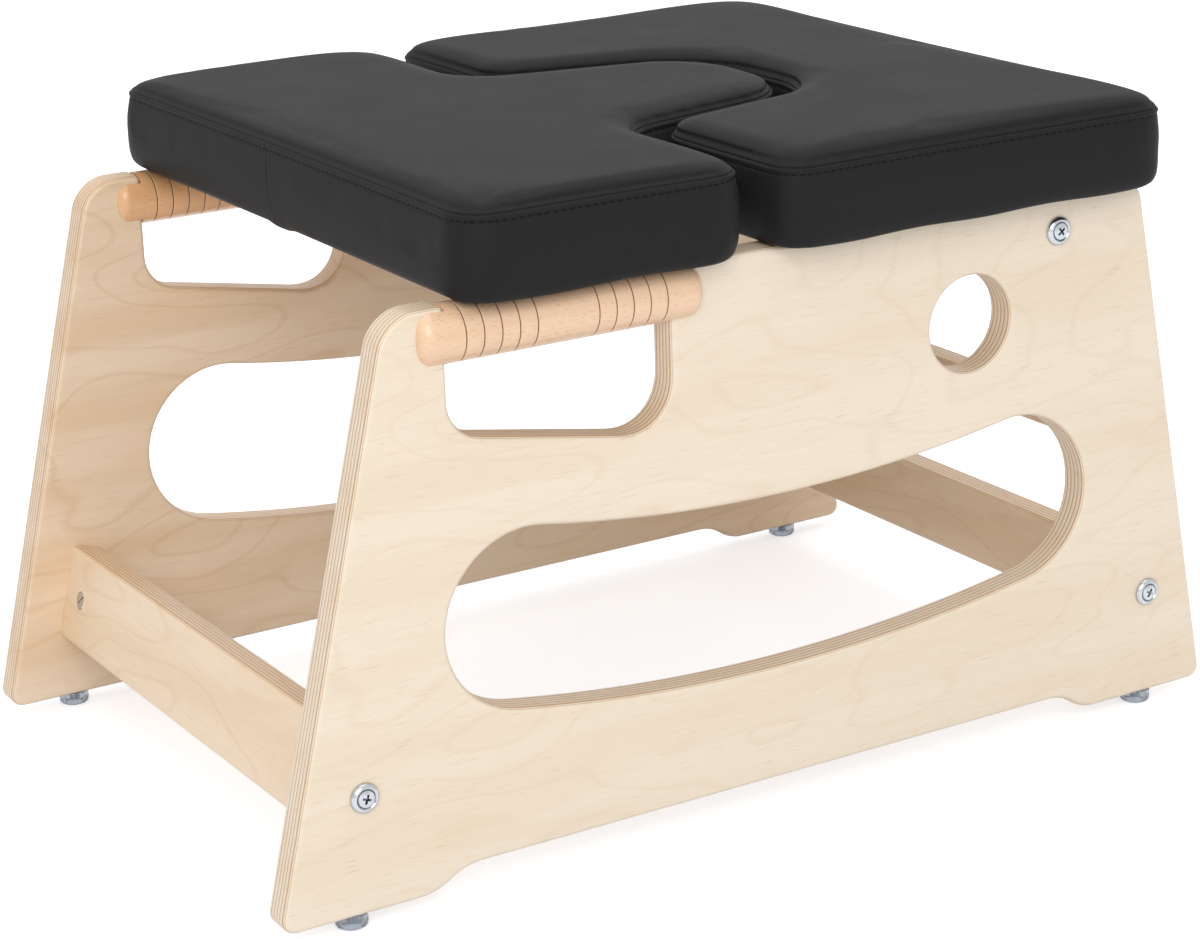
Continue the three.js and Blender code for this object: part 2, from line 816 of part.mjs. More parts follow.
// The lift-off cushion carries a batten on each side, just inside the grips
function frontCushion() {
  const battenY = gripInner - battenClearance - battenWidth / 2;
  const battenX = cushionFront + battenSetback + battenLength / 2;
  const battenTop = boardBottom - seat;
  const screwReach = battenLength / 2 - battenScrewInset;
  const ends = { front: -screwReach, rear: screwReach };
  const places = Object.entries(sides).flatMap(([sideName, side]) =>
    Object.entries(ends).map(([endName, offset]) => ({ sideName, side, endName, offset })),
  );
  const pilots = places.map(({ side, offset }) =>
    screwPilot().translate(battenX + offset, side * battenY, boardBottom),
  );
  const group = cushion("front_cushion", frontCushionCorners(), pilots);
  for (const [sideName, side] of Object.entries(sides)) {
    group.add(batten(`batten_${sideName}`, battenX, side * battenY, battenTop, Object.values(ends)));
  }
  const headSeat = battenTop - battenHeight + battenScrewSink - play;
  for (const { sideName, side, endName, offset } of places) {
    const screw = cushionScrew(`batten_screw_${sideName}_${endName}`, boardBottom + cushionScrewBite - headSeat);
    screw.position.set(battenX + offset, side * battenY, headSeat);
    group.add(screw);
  }
  return group;
}

function batten(name, x, y, top, screwOffsets) {
  const bores = screwOffsets.flatMap((offset) => [
    cutterZ(cushionScrewRadius + play, battenHeight + overrun, smallSteps).translate(offset, 0, 0),
    cutterZ(cushionScrewHeadRadius + play, 2 * battenScrewSink, smallSteps)
      .translate(offset, 0, -battenHeight / 2),
  ]);
  const block = cut(new THREE.BoxGeometry(battenLength, battenWidth, battenHeight), bores);
  const strip = named(name, block, finish.dowel);
  strip.position.set(x, y, top - battenHeight / 2);
  return strip;
}

function headstandStool() {
  const stool = new THREE.Group();
  for (const [sideName, side] of Object.entries(sides)) {
    stool.add(sidePanel(sideName, side), grip(sideName, side));
    for (const [endName, x] of Object.entries(footPlaces)) {
      stool.add(glideFoot(endName, x, sideName, side));
    }
  }
  for (const [railName, rail] of Object.entries(rails)) {
    stool.add(railGroup(railName, rail));
  }
  stool.add(stretcherGroup(), rearCushion(), frontCushion());
  return stool;
}

export default headstandStool();
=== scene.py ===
# A yoga headstand stool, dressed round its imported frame. Metres, +X to the rear, +Z up.
import json
from math import cos, hypot, pi, radians, sin, tan

import bpy
import numpy as np
from mathutils import Matrix, Vector
from mathutils.bvhtree import BVHTree


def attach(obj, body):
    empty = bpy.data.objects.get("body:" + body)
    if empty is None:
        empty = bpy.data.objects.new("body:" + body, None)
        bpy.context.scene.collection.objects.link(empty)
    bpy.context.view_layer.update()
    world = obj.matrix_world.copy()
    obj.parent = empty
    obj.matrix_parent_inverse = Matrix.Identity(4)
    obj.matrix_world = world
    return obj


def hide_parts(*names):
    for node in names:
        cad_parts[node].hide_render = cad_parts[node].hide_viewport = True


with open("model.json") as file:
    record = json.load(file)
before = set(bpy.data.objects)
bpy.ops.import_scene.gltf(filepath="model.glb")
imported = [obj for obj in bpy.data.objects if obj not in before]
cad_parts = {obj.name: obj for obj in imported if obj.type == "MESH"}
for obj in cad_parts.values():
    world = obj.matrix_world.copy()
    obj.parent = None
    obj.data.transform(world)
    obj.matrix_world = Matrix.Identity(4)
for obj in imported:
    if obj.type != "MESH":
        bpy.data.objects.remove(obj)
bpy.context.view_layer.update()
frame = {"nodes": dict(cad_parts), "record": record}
sides = {"near": -1, "far": 1}

# Side panels
# Two boards of 18 mm birch plywood, cut to shape and rounded over 3 mm along every edge.
# They stand on glides under their pads, carry the cushions on top, and each has a hand notch, a
# curved slot and a round hole.
ply = 0.018
round_over = 0.003
round_steps = 5
panel_middle = 0.1782
panel_corners = [
    (-0.29756, 0.0075, 0.008),
    (-0.2106, 0.0075, 0.030),
    (-0.1916, 0.0185, 0.030),
    (0.1929, 0.0185, 0.024),
    (0.2089, 0.0075, 0.024),
    (0.29683, 0.0075, 0.007),
    (0.24022, 0.310, 0.012),
    (-0.06455, 0.310, 0),
    (-0.06455, 0.2219, 0.026),
    (-0.19205, 0.2449, 0.020),
    (-0.19205, 0.310, 0),
    (-0.22465, 0.310, 0.022),
]
slot_middle = (0.0034, 0.1297)
slot_half_width = 0.0474
slot_half_span = 0.1548
slot_bend = 0.905
hole_middle = (0.12477, 0.2483)
hole_radius = 0.0263
fewest_corner_steps = 6
corner_step_unit = 0.0015
corner_step_share = 1.6


def alone(piece=None):
    """Nothing is selected any more but the piece, which is also the active one."""
    bpy.ops.object.select_all(action="DESELECT")
    if piece:
        piece.select_set(True)
        bpy.context.view_layer.objects.active = piece


def linked(name, data):
    """A new object of the data, put into the scene."""
    made = bpy.data.objects.new(name, data)
    bpy.context.scene.collection.objects.link(made)
    return made


def add(tree, kind, values=None, **settings):
    """A shader node with its settings, its inputs set or joined to the sockets that are given."""
    node = tree.nodes.new(kind)
    for key, value in settings.items():
        setattr(node, key, value)
    for key, value in (values or {}).items():
        if isinstance(value, bpy.types.NodeSocket):
            tree.links.new(value, node.inputs[key])
        else:
            node.inputs[key].default_value = value
    return node


def number(tree, operation, first, second=0.0, third=0.0):
    return add(tree, "ShaderNodeMath", {0: first, 1: second, 2: third}, operation=operation).outputs[0]


def blended(tree, share, first, second, way="MIX"):
    mix = add(tree, "ShaderNodeMix", {0: share, 6: first, 7: second}, data_type="RGBA", blend_type=way)
    return mix.outputs[2]


def stretched(tree, vector, scale):
    return add(tree, "ShaderNodeVectorMath", {0: vector, 1: scale}, operation="MULTIPLY").outputs[0]


def noise(tree, vector, scale, detail=3.0, roughness=0.5):
    node = add(tree, "ShaderNodeTexNoise",
               {"Vector": vector, "Scale": scale, "Detail": detail, "Roughness": roughness})
    return node.outputs["Fac"]


def group_of(name, inputs, outputs):
    """A node group with named inputs and outputs, and its input and output nodes."""
    tree = bpy.data.node_groups.new(name, "ShaderNodeTree")
    for label, kind, value in inputs:
        socket = tree.interface.new_socket(label, in_out="INPUT", socket_type="NodeSocket" + kind)
        if value is not None:
            socket.default_value = value
    for label, kind in outputs:
        tree.interface.new_socket(label, in_out="OUTPUT", socket_type="NodeSocket" + kind)
    return tree, tree.nodes.new("NodeGroupInput").outputs, tree.nodes.new("NodeGroupOutput").inputs


def material(name):
    """An empty material with its Principled shader."""
    made = bpy.data.materials.new(name)
    made.use_nodes = True
    return made, made.node_tree, made.node_tree.nodes["Principled BSDF"]


def bump(tree, height, distance, strength=1.0):
    return add(tree, "ShaderNodeBump",
               {"Height": height, "Distance": distance, "Strength": strength}).outputs[0]


def layered(tree, colour, layers):
    """Tones laid over a colour one after another, each as strong as its mask times its share."""
    for mask, share, tone, way in layers:
        colour = blended(tree, number(tree, "MULTIPLY", mask, share), colour, tone, way)
    return colour


# Plywood: thin plies across Y, light and dark in turn with a glue line between them, grain along X
ply_count = 12.2
ply_phase = 6.4
ply_wander = 0.0004
glue_share = 0.1
dark_start = 0.5
plywood, given, result = group_of(
    "plywood",
    [("Vector", "Vector", None), ("Face", "Color", (0.8, 0.66, 0.46, 1)),
     ("Dark Ply", "Color", (0.5, 0.3, 0.16, 1)), ("Figure", "Float", 1.0)],
    [("Color", "Color"), ("Roughness", "Float"), ("Height", "Float")],
)
wander = noise(plywood, given["Vector"], 60.0, 2.0)
parts = add(plywood, "ShaderNodeSeparateXYZ", {0: given["Vector"]}).outputs
depth = number(plywood, "MULTIPLY_ADD", wander, ply_wander, parts["Y"])
layer = number(plywood, "MULTIPLY_ADD", depth, ply_count / ply, ply_phase)
inside = number(plywood, "FRACT", layer)
turn = number(plywood, "MODULO", number(plywood, "FLOOR", layer), 2.0)
glue = number(plywood, "LESS_THAN", inside, glue_share)
thin = number(plywood, "MULTIPLY", turn, number(plywood, "GREATER_THAN", inside, dark_start))
fibre = noise(plywood, stretched(plywood, given["Vector"], (26, 500, 620)), 1.0, 4.0, 0.6)
wave = noise(plywood, stretched(plywood, given["Vector"], (3.2, 30, 34)), 1.0, 5.0, 0.55)
cloud = noise(plywood, stretched(plywood, given["Vector"], (3, 8, 8)), 1.0, 2.0)
pores = noise(plywood, stretched(plywood, given["Vector"], (60, 900, 1200)), 1.0, 2.0)
peeled = noise(plywood, stretched(plywood, given["Vector"], (5.5, 10, 15)), 1.0, 1.5, 0.4)
ring = number(plywood, "PINGPONG", number(plywood, "MULTIPLY", peeled, 11.0), 0.5)
contour = add(plywood, "ShaderNodeMapRange", {0: ring, 1: 0.11, 2: 0.0}, clamp=True).outputs[0]
fleck = add(plywood, "ShaderNodeMapRange", {0: pores, 1: 0.62, 2: 0.74}, clamp=True).outputs[0]
lines = add(plywood, "ShaderNodeMapRange", {0: wave, 1: 0.42, 2: 0.62}, clamp=True).outputs[0]
coloured = layered(plywood, given["Face"], [
    (lines, given["Figure"], (0.93, 0.87, 0.78, 1), "MULTIPLY"),
    (number(plywood, "MULTIPLY", contour, given["Figure"]), 0.45, (0.86, 0.76, 0.63, 1), "MULTIPLY"),
    (fibre, 0.35, (0.86, 0.78, 0.66, 1), "MULTIPLY"),
    (cloud, 0.5, (0.95, 0.91, 0.86, 1), "MULTIPLY"),
    (fleck, 0.35, given["Dark Ply"], "MIX"),
    (thin, 0.9, given["Dark Ply"], "MIX"),
    (glue, 0.75, (0.34, 0.19, 0.10, 1), "MIX"),
])
plywood.links.new(coloured, result["Color"])
plywood.links.new(number(plywood, "MULTIPLY_ADD", fibre, 0.16, 0.34), result["Roughness"])
relief = number(plywood, "SUBTRACT", number(plywood, "MULTIPLY", fibre, 0.4), glue)
plywood.links.new(relief, result["Height"])


def plywood_material(name, place, turns, face, dark, figure):
    """Lacquered plywood whose middle plane passes through a place, turned until its plies lie across Y."""
    made, tree, shader = material(name)
    coordinates = add(tree, "ShaderNodeTexCoord").outputs["Object"]
    local = add(tree, "ShaderNodeVectorMath", {0: coordinates, 1: place}, operation="SUBTRACT").outputs[0]
    for turn_by in turns:
        local = add(tree, "ShaderNodeMapping", {"Vector": local, "Rotation": turn_by},
                    vector_type="POINT").outputs[0]
    wood = add(tree, "ShaderNodeGroup", {}, node_tree=plywood)
    tree.links.new(local, wood.inputs["Vector"])
    wood.inputs["Face"].default_value = face
    wood.inputs["Dark Ply"].default_value = dark
    wood.inputs["Figure"].default_value = figure
    tree.links.new(wood.outputs["Color"], shader.inputs["Base Color"])
    tree.links.new(wood.outputs["Roughness"], shader.inputs["Roughness"])
    tree.links.new(bump(tree, wood.outputs["Height"], 0.00008), shader.inputs["Normal"])
    shader.inputs["Coat Weight"].default_value = 0.12
    shader.inputs["Coat Roughness"].default_value = 0.25
    return made


# The far board's warmer, darker face is painted shade with warm bounce light; the near face is the birch's
# own tone.
birch_faces_far_shaded = {"near": (0.90, 0.79, 0.65, 1), "far": (0.90, 0.73, 0.56, 1)}
birch_figure = {"near": 0.45, "far": 1.0}
birch_dark = (0.56, 0.32, 0.15, 1)


def edit(piece, mode="VERT"):
    """Edit mode on the piece alone, with nothing selected in it."""
    alone(piece)
    bpy.ops.object.mode_set(mode="EDIT")
    bpy.ops.mesh.select_mode(type=mode)
    bpy.ops.mesh.select_all(action="DESELECT")


def leave():
    bpy.ops.object.mode_set(mode="OBJECT")


def plate(name, corners, flat):
    """A flat face cut to its corners, each rounded by its own radius, with the plane given by flat."""
    alone()
    bpy.ops.mesh.primitive_circle_add(vertices=len(corners), radius=0.2, fill_type="NGON")
    piece = bpy.context.object
    piece.name = piece.data.name = name
    for vertex, (along, up, _) in zip(piece.data.vertices, corners):
        vertex.co = flat(along, up)
    for index, (along, up, radius) in enumerate(corners):
        if radius:
            before = Vector(corners[index - 1][:2]) - Vector((along, up))
            after = Vector(corners[(index + 1) % len(corners)][:2]) - Vector((along, up))
            opening = before.angle(after)
            edit(piece)
            leave()
            nearest = min(piece.data.vertices, key=lambda v: (v.co - Vector(flat(along, up))).length)
            nearest.select = True
            bpy.ops.object.mode_set(mode="EDIT")
            fineness = (radius / corner_step_unit) ** 0.5 * corner_step_share
            steps = max(fewest_corner_steps, round((pi - opening) * fineness))
            bpy.ops.mesh.bevel(affect="VERTICES", offset=radius / tan(opening / 2), segments=steps)
            leave()
    return piece


def thicken(piece, move):
    """The face is extruded by a move, and all its faces are turned outwards."""
    edit(piece)
    bpy.ops.mesh.select_all(action="SELECT")
    bpy.ops.mesh.extrude_region_move(TRANSFORM_OT_translate={"value": move})
    bpy.ops.mesh.select_all(action="SELECT")
    bpy.ops.mesh.normals_make_consistent(inside=False)
    leave()


def finish(piece, kind, **settings):
    """A modifier is added to the piece and applied."""
    alone(piece)
    modifier = piece.modifiers.new(kind.lower(), kind)
    for key, value in settings.items():
        setattr(modifier, key, value)
    bpy.ops.object.modifier_apply(modifier=modifier.name)


def carve(piece, tools):
    for tool in tools:
        finish(piece, "BOOLEAN", operation="DIFFERENCE", solver="EXACT", object=tool)
        bpy.data.objects.remove(tool)


def smooth(piece, angle=radians(35)):
    """Faces that meet below the angle are shaded as one surface."""
    alone(piece)
    bpy.ops.object.shade_smooth_by_angle(angle=angle)
    finish(piece, "WEIGHTED_NORMAL", keep_sharp=True)


def copied(piece, name, change):
    """A copy with its own mesh, moved by a matrix."""
    alone(piece)
    bpy.ops.object.duplicate()
    twin = bpy.context.object
    twin.name = twin.data.name = name
    twin.data.transform(change)
    return twin


def placed(piece, look, body, slot, *nodes):
    """The piece gets its finish, moves with a body and stands for its nodes."""
    piece.data.materials.clear()
    piece.data.materials.append(look)
    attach(piece, body)
    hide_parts(*nodes)


def slot_cutter():
    """A straight slot with round ends, then bent along its shallow arc."""
    span = slot_half_span + slot_half_width
    wide = slot_half_width
    end = 0.999 * wide
    corners = [(-span, -wide, end), (span, -wide, end), (span, wide, end), (-span, wide, end)]
    tool = plate("slot_cutter", corners, lambda x, z: (x, 0, z))
    edit(tool, "EDGE")
    leave()
    for line in tool.data.edges:
        a, b = (tool.data.vertices[i].co for i in line.vertices)
        line.select = abs(a.x - b.x) > slot_half_span
    bpy.ops.object.mode_set(mode="EDIT")
    bpy.ops.mesh.subdivide(number_cuts=30)
    leave()
    for vertex in tool.data.vertices:
        bend = vertex.co.x / slot_bend
        reach = slot_bend - vertex.co.z
        vertex.co.x = slot_middle[0] + reach * sin(bend)
        vertex.co.z = slot_middle[1] + slot_bend - reach * cos(bend)
    thicken(tool, (0, 2 * ply, 0))
    tool.location.y = -ply
    return tool


def hole_cutter():
    alone()
    bpy.ops.mesh.primitive_cylinder_add(vertices=72, radius=hole_radius, depth=2 * ply,
                                        location=(hole_middle[0], 0, hole_middle[1]), rotation=(pi / 2, 0, 0))
    return bpy.context.object


panel = plate("side_panel", panel_corners, lambda x, z: (x, -ply / 2, z))
thicken(panel, (0, ply, 0))
for across in (slot_middle[0], hole_middle[0]):
    edit(panel)
    bpy.ops.mesh.select_all(action="SELECT")
    bpy.ops.mesh.bisect(plane_co=(across, 0, 0), plane_no=(1, 0, 0))
    leave()
carve(panel, [slot_cutter(), hole_cutter()])
finish(panel, "BEVEL", width=round_over, segments=round_steps, limit_method="ANGLE",
       angle_limit=radians(55), use_clamp_overlap=False)
smooth(panel)
for side_name, side in sides.items():
    birch = plywood_material(f"birch_{side_name}", (0, side * panel_middle, 0), (),
                             birch_faces_far_shaded[side_name], birch_dark, birch_figure[side_name])
    board = copied(panel, f"panel_{side_name}", Matrix.Translation((0, side * panel_middle, 0)))
    placed(board, birch, "frame", "birch_ply", f"side_panel_{side_name}")
bpy.data.objects.remove(panel)

# Glide feet
# A smoky clear plastic glide with a moulded ring under each end of a side panel, held by a
# pan-head screw that is sunk in its recess. The screw is bright zinc-plated steel.
foot_ends = {"front": -0.2544, "rear": 0.2544}
foot_profile = [
    (0.0021, 0.0036), (0.0046, 0.0036), (0.0049, 0.0033), (0.0049, 0.0004), (0.0053, 0.0), (0.0065, 0.0),
    (0.0073, 0.00018), (0.0079, 0.0006), (0.0083, 0.0012), (0.0085, 0.002), (0.0085, 0.0035),
    (0.0081, 0.0039), (0.0081, 0.0043), (0.0085, 0.0047), (0.0085, 0.0066), (0.0083, 0.0071),
    (0.0080, 0.0074), (0.0021, 0.0074), (0.0021, 0.0036),
]
foot_screw_profile = [
    (0.0, 0.0012), (0.0018, 0.0013), (0.0032, 0.0017), (0.0041, 0.0024), (0.0043, 0.003), (0.0043, 0.0033),
    (0.00175, 0.0033), (0.00175, 0.022), (0.0, 0.0255),
]


def turned(name, profile, steps):
    """A turned piece on the Z axis: one point is extruded along its half outline, which is then spun."""
    alone()
    bpy.ops.mesh.primitive_plane_add(size=0.001)
    piece = bpy.context.object
    piece.name = piece.data.name = name
    bpy.ops.object.mode_set(mode="EDIT")
    bpy.ops.mesh.select_mode(type="VERT")
    bpy.ops.mesh.select_all(action="SELECT")
    bpy.ops.mesh.merge(type="CENTER")
    bpy.ops.transform.translate(value=(profile[0][0], 0, profile[0][1]))
    for (radius, height), (next_radius, next_height) in zip(profile, profile[1:]):
        bpy.ops.mesh.extrude_region_move(
            TRANSFORM_OT_translate={"value": (next_radius - radius, 0, next_height - height)})
    bpy.ops.mesh.select_all(action="SELECT")
    bpy.ops.mesh.spin(steps=steps, angle=2 * pi, center=(0, 0, 0), axis=(0, 0, 1))
    bpy.ops.mesh.select_all(action="SELECT")
    bpy.ops.mesh.remove_doubles(threshold=0.000004)
    bpy.ops.mesh.normals_make_consistent(inside=False)
    leave()
    return piece


def cross_cutter(reach, width, depth, level):
    """Two tapered blades that cut a cross recess down from a level."""
    taper = (0.35, 0.6, 1)
    blades = []
    for quarter in (0, pi / 2):
        alone()
        bpy.ops.mesh.primitive_cube_add(size=1, location=(0, 0, 0))
        blade = bpy.context.object
        blade.data.transform(Matrix.Diagonal((2 * reach, width, 2 * depth, 1)))
        edit(blade)
        leave()
        for vertex in blade.data.vertices:
            vertex.select = vertex.co.z < 0
        bpy.ops.object.mode_set(mode="EDIT")
        bpy.ops.transform.resize(value=taper, center_override=(0, 0, 0))
        leave()
        blade.data.transform(Matrix.Translation((0, 0, level)) @ Matrix.Rotation(quarter, 4, "Z"))
        blades.append(blade)
    return blades


def clear_plastic():
    made, tree, shader = material("clear_plastic")
    place = add(tree, "ShaderNodeTexCoord").outputs["Object"]
    mould = noise(tree, place, 420.0, 3.0)
    tinted = blended(tree, mould, (0.44, 0.49, 0.56, 1), (0.62, 0.67, 0.74, 1))
    tree.links.new(tinted, shader.inputs["Base Color"])
    tree.links.new(number(tree, "MULTIPLY_ADD", mould, 0.12, 0.10), shader.inputs["Roughness"])
    tree.links.new(bump(tree, mould, 0.00006), shader.inputs["Normal"])
    shader.inputs["Transmission Weight"].default_value = 0.82
    shader.inputs["IOR"].default_value = 1.49
    return made


def bright_zinc():
    made, tree, shader = material("bright_zinc")
    place = add(tree, "ShaderNodeTexCoord").outputs["Object"]
    plating = noise(tree, place, 900.0, 4.0, 0.6)
    wiped = noise(tree, stretched(tree, place, (3000, 400, 900)), 1.0, 2.0)
    bright = blended(tree, plating, (0.44, 0.46, 0.49, 1), (0.62, 0.64, 0.67, 1))
    # Deep in a recess the zinc is painted darker: painted shade in the bolt's cross recess and the washer's
    # cup.
    recess_shade = add(tree, "ShaderNodeAttribute", attribute_name="recess_shade").outputs["Fac"]
    tree.links.new(blended(tree, recess_shade, bright, (0.24, 0.25, 0.26, 1)), shader.inputs["Base Color"])
    tree.links.new(number(tree, "MULTIPLY_ADD", wiped, 0.20, 0.12), shader.inputs["Roughness"])
    tree.links.new(bump(tree, wiped, 0.00003), shader.inputs["Normal"])
    shader.inputs["Metallic"].default_value = 1.0
    return made


zinc = bright_zinc()
clear = clear_plastic()
foot = turned("foot", foot_profile, 56)
smooth(foot, radians(40))
foot_screw = turned("foot_screw", foot_screw_profile, 32)
carve(foot_screw, cross_cutter(reach=0.0022, width=0.0009, depth=0.0016, level=0.0005))
smooth(foot_screw, radians(40))
for end, x in foot_ends.items():
    for side_name, side in sides.items():
        corner = f"{end}_{side_name}"
        shift = Matrix.Translation((x, side * panel_middle, 0))
        placed(copied(foot, f"foot_{corner}", shift), clear, "frame", "clear_foot", f"glide_foot_{corner}")
        placed(copied(foot_screw, f"screw_{corner}", shift), zinc, "frame", "zinc", f"foot_screw_{corner}")
bpy.data.objects.remove(foot)
bpy.data.objects.remove(foot_screw)

# Cross rails
# Front, rear and top rails of the same plywood and a slim square stretcher, all rounded along
# their length and cut square at the panels. Each end of the three rails is bored for a barrel nut.
rail_length = 0.3382
rails = {
    "front": {"node": "front_rail", "x": -0.24812, "z": 0.0705, "height": 0.055,
              "lean": radians(13.55), "facing": -1},
    "rear": {"node": "rear_rail", "x": 0.25312, "z": 0.069, "height": 0.046, "lean": 0, "facing": 1},
    "top": {"node": "top_rear_rail", "x": 0.18287, "z": 0.2905, "height": 0.039, "lean": 0, "facing": 1},
    "stretcher": {"node": "rear_stretcher", "x": 0.23636, "z": 0.1655, "height": 0.018,
                  "lean": 0, "facing": 0},
}
nut_setback = 0.020
nut_bore = 0.0053
nut_bore_depth = 0.0143
rail_face = (0.88, 0.705, 0.52, 1)
rail_figure = 0.8


def rail_piece(rail_name, rail):
    alone()
    bpy.ops.mesh.primitive_cube_add(size=1, location=(0, 0, 0))
    piece = bpy.context.object
    piece.name = piece.data.name = f"rail_{rail_name}"
    piece.data.transform(Matrix.Diagonal((ply, rail_length, rail["height"], 1)))
    edit(piece, "EDGE")
    leave()
    for line in piece.data.edges:
        a, b = (piece.data.vertices[i].co for i in line.vertices)
        line.select = abs(a.y - b.y) > ply
    bpy.ops.object.mode_set(mode="EDIT")
    bpy.ops.mesh.bevel(offset=round_over, segments=round_steps)
    leave()
    bores = []
    if rail["facing"]:
        for side in sides.values():
            alone()
            bpy.ops.mesh.primitive_cylinder_add(
                vertices=40, radius=nut_bore, depth=2 * nut_bore_depth, rotation=(0, pi / 2, 0),
                location=(rail["facing"] * ply / 2, side * (rail_length / 2 - nut_setback), 0))
            bores.append(bpy.context.object)
    carve(piece, bores)
    smooth(piece)
    place = Matrix.Translation((rail["x"], 0, rail["z"])) @ Matrix.Rotation(rail["lean"], 4, "Y")
    piece.data.transform(place)
    return piece


for rail_name, rail in rails.items():
    # The lean is undone first. Rails carry their plies across X, so a quarter turn about the upright follows.
    rail_birch = plywood_material(f"rail_birch_{rail_name}", (rail["x"], 0, rail["z"]),
                                  ((0, -rail["lean"], 0), (0, 0, pi / 2)), rail_face, birch_dark, rail_figure)
    placed(rail_piece(rail_name, rail), rail_birch, "frame", "rail_ply", rail["node"])

# Bolts, cup washers and barrel nuts
# A countersunk bolt in a domed cup washer passes through each panel into the barrel nut of its
# rail. All are bright zinc-plated steel. The bolt has a cross recess and the nut a screwdriver slot.
bolt_profile = [
    (0.0, -0.049), (0.0024, -0.049), (0.0029, -0.048), (0.0029, 0.0004), (0.0045, 0.0018), (0.0047, 0.0021),
    (0.0044, 0.0026), (0.0032, 0.0030), (0.0016, 0.0032), (0.0, 0.00325),
]
washer_profile = [
    (0.0033, 0.0001), (0.0077, 0.0001), (0.008, 0.0003), (0.0080, 0.0007), (0.0077, 0.0015), (0.0071, 0.0022),
    (0.0064, 0.0027), (0.0060, 0.0029), (0.0057, 0.0029), (0.0054, 0.0026), (0.0049, 0.0021),
    (0.0033, 0.0006), (0.0033, 0.0001),
]
nut_half = 0.007
nut_slot = (0.0012, 0.012, 0.002)
nut_shift = 0.002
nut_profile = [
    (0.0, -nut_half), (0.0046, -nut_half), (0.005, -0.0066),
    (0.005, 0.0066), (0.0046, nut_half), (0.0, nut_half),
]
panel_outside = panel_middle + ply / 2
panel_inside = panel_middle - ply / 2


def mark_recess_shade(piece, reach, top, depth):
    """How deep each point of the metal lies inside a recess, kept as an attribute of the mesh. The zinc is
    painted darker there, as painted shade.
    """
    mark = piece.data.attributes.new("recess_shade", "FLOAT", "POINT")
    for vertex, value in zip(piece.data.vertices, mark.data):
        inside = hypot(vertex.co.x, vertex.co.y) < reach
        value.value = min(max((top - vertex.co.z) / depth, 0), 1) if inside else 0


bolt_master = turned("bolt_master", bolt_profile, 48)
carve(bolt_master, cross_cutter(reach=0.0043, width=0.0017, depth=0.0024, level=0.0036))
smooth(bolt_master, radians(40))
# The bolt's cross recess and the washer's cup are marked for painted shade.
mark_recess_shade(bolt_master, reach=0.0040, top=0.0024, depth=0.0008)
washer_master = turned("washer_master", washer_profile, 56)
smooth(washer_master, radians(50))
mark_recess_shade(washer_master, reach=0.0056, top=0.0028, depth=0.0008)
nut_master = turned("nut_master", nut_profile, 40)
alone()
bpy.ops.mesh.primitive_cube_add(size=1, location=(0, 0, nut_half))
slot_blade = bpy.context.object
slot_blade.scale = nut_slot
carve(nut_master, [slot_blade])
smooth(nut_master, radians(40))
for rail_name, rail in rails.items():
    if not rail["facing"]:
        continue
    middle = Matrix.Translation((rail["x"], 0, rail["z"])) @ Matrix.Rotation(rail["lean"], 4, "Y")
    for side_name, side in sides.items():
        end = f"{rail_name}_{side_name}"
        # Each bolt and nut has come to rest at its own angle.
        bolt_turn = Matrix.Rotation(radians(23 * len(rail_name) + 31 * side), 4, "Z")
        nut_turn = Matrix.Rotation(radians(40 * side), 4, "Z")
        outwards = middle @ Matrix.Translation((0, side * panel_outside, 0))
        outwards = outwards @ Matrix.Rotation(-side * pi / 2, 4, "X")
        bolt = copied(bolt_master, f"fixing_bolt_{end}", outwards @ bolt_turn)
        placed(bolt, zinc, "frame", "zinc", f"bolt_{end}")
        placed(copied(washer_master, f"washer_{end}", outwards), zinc, "frame", "zinc", f"cup_washer_{end}")
        nut_place = (rail["facing"] * nut_shift, side * (panel_inside - nut_setback), 0)
        across = middle @ Matrix.Translation(nut_place)
        across = across @ Matrix.Rotation(rail["facing"] * pi / 2, 4, "Y") @ nut_turn
        placed(copied(nut_master, f"nut_{end}", across), zinc, "frame", "zinc", f"barrel_nut_{end}")
for master in (bolt_master, washer_master, nut_master):
    bpy.data.objects.remove(master)

# Grips
# A turned beech rod bridges each notch. Its blunt ends have rounded edges and are forked over the
# panel, two groups of five grooves are burnt in for the fingers, and it has a clear gloss varnish.
grip_radius = 0.015
grip_front = -0.20805
grip_rear = -0.04655
grip_height = 0.295
grip_outset = 0.0015
notch_ends = (-0.19205, -0.06455)
groove_pitch = 0.0099
groove_half = 0.0005
groove_depth = 0.0007
groove_section = ((-1.35, 0), (-0.8, 0.25), (0, 1), (0.8, 0.25), (1.35, 0))
first_grooves = -0.18435
last_grooves = -0.07035
end_round = 0.008
fork_gap = 0.0001
fork_overrun = 0.002
fork_height = 2.4
grooved_half = 0.063
burn_start = 0.00015
burn_full = 0.0005
# The far rod's darker, more orange tones are painted shade with warm bounce light; the near rod has the
# beech's own tones.
rod_tones_far_shaded = {
    "near": ((0.92, 0.655, 0.45, 1), (0.83, 0.54, 0.33, 1)),
    "far": ((0.86, 0.52, 0.27, 1), (0.76, 0.40, 0.18, 1)),
}


def grip_profile():
    """Half outline of the rod along its length, from its blunt front end to the rear one."""
    def end_points(along):
        turns = [step * pi / 20 for step in range(11)]
        curve = [(grip_radius - end_round * (1 - sin(turn)), along(end_round * (1 - cos(turn))))
                 for turn in turns]
        return [(0.0, along(0)), *curve]

    middles = [first_grooves + step * groove_pitch for step in range(5)]
    middles += [last_grooves - step * groove_pitch for step in reversed(range(5))]
    points = end_points(lambda rise: grip_front + rise)
    for middle in middles:
        points += [(grip_radius - deep * groove_depth, middle + along * groove_half)
                   for along, deep in groove_section]
    return points + end_points(lambda rise: grip_rear - rise)[::-1]


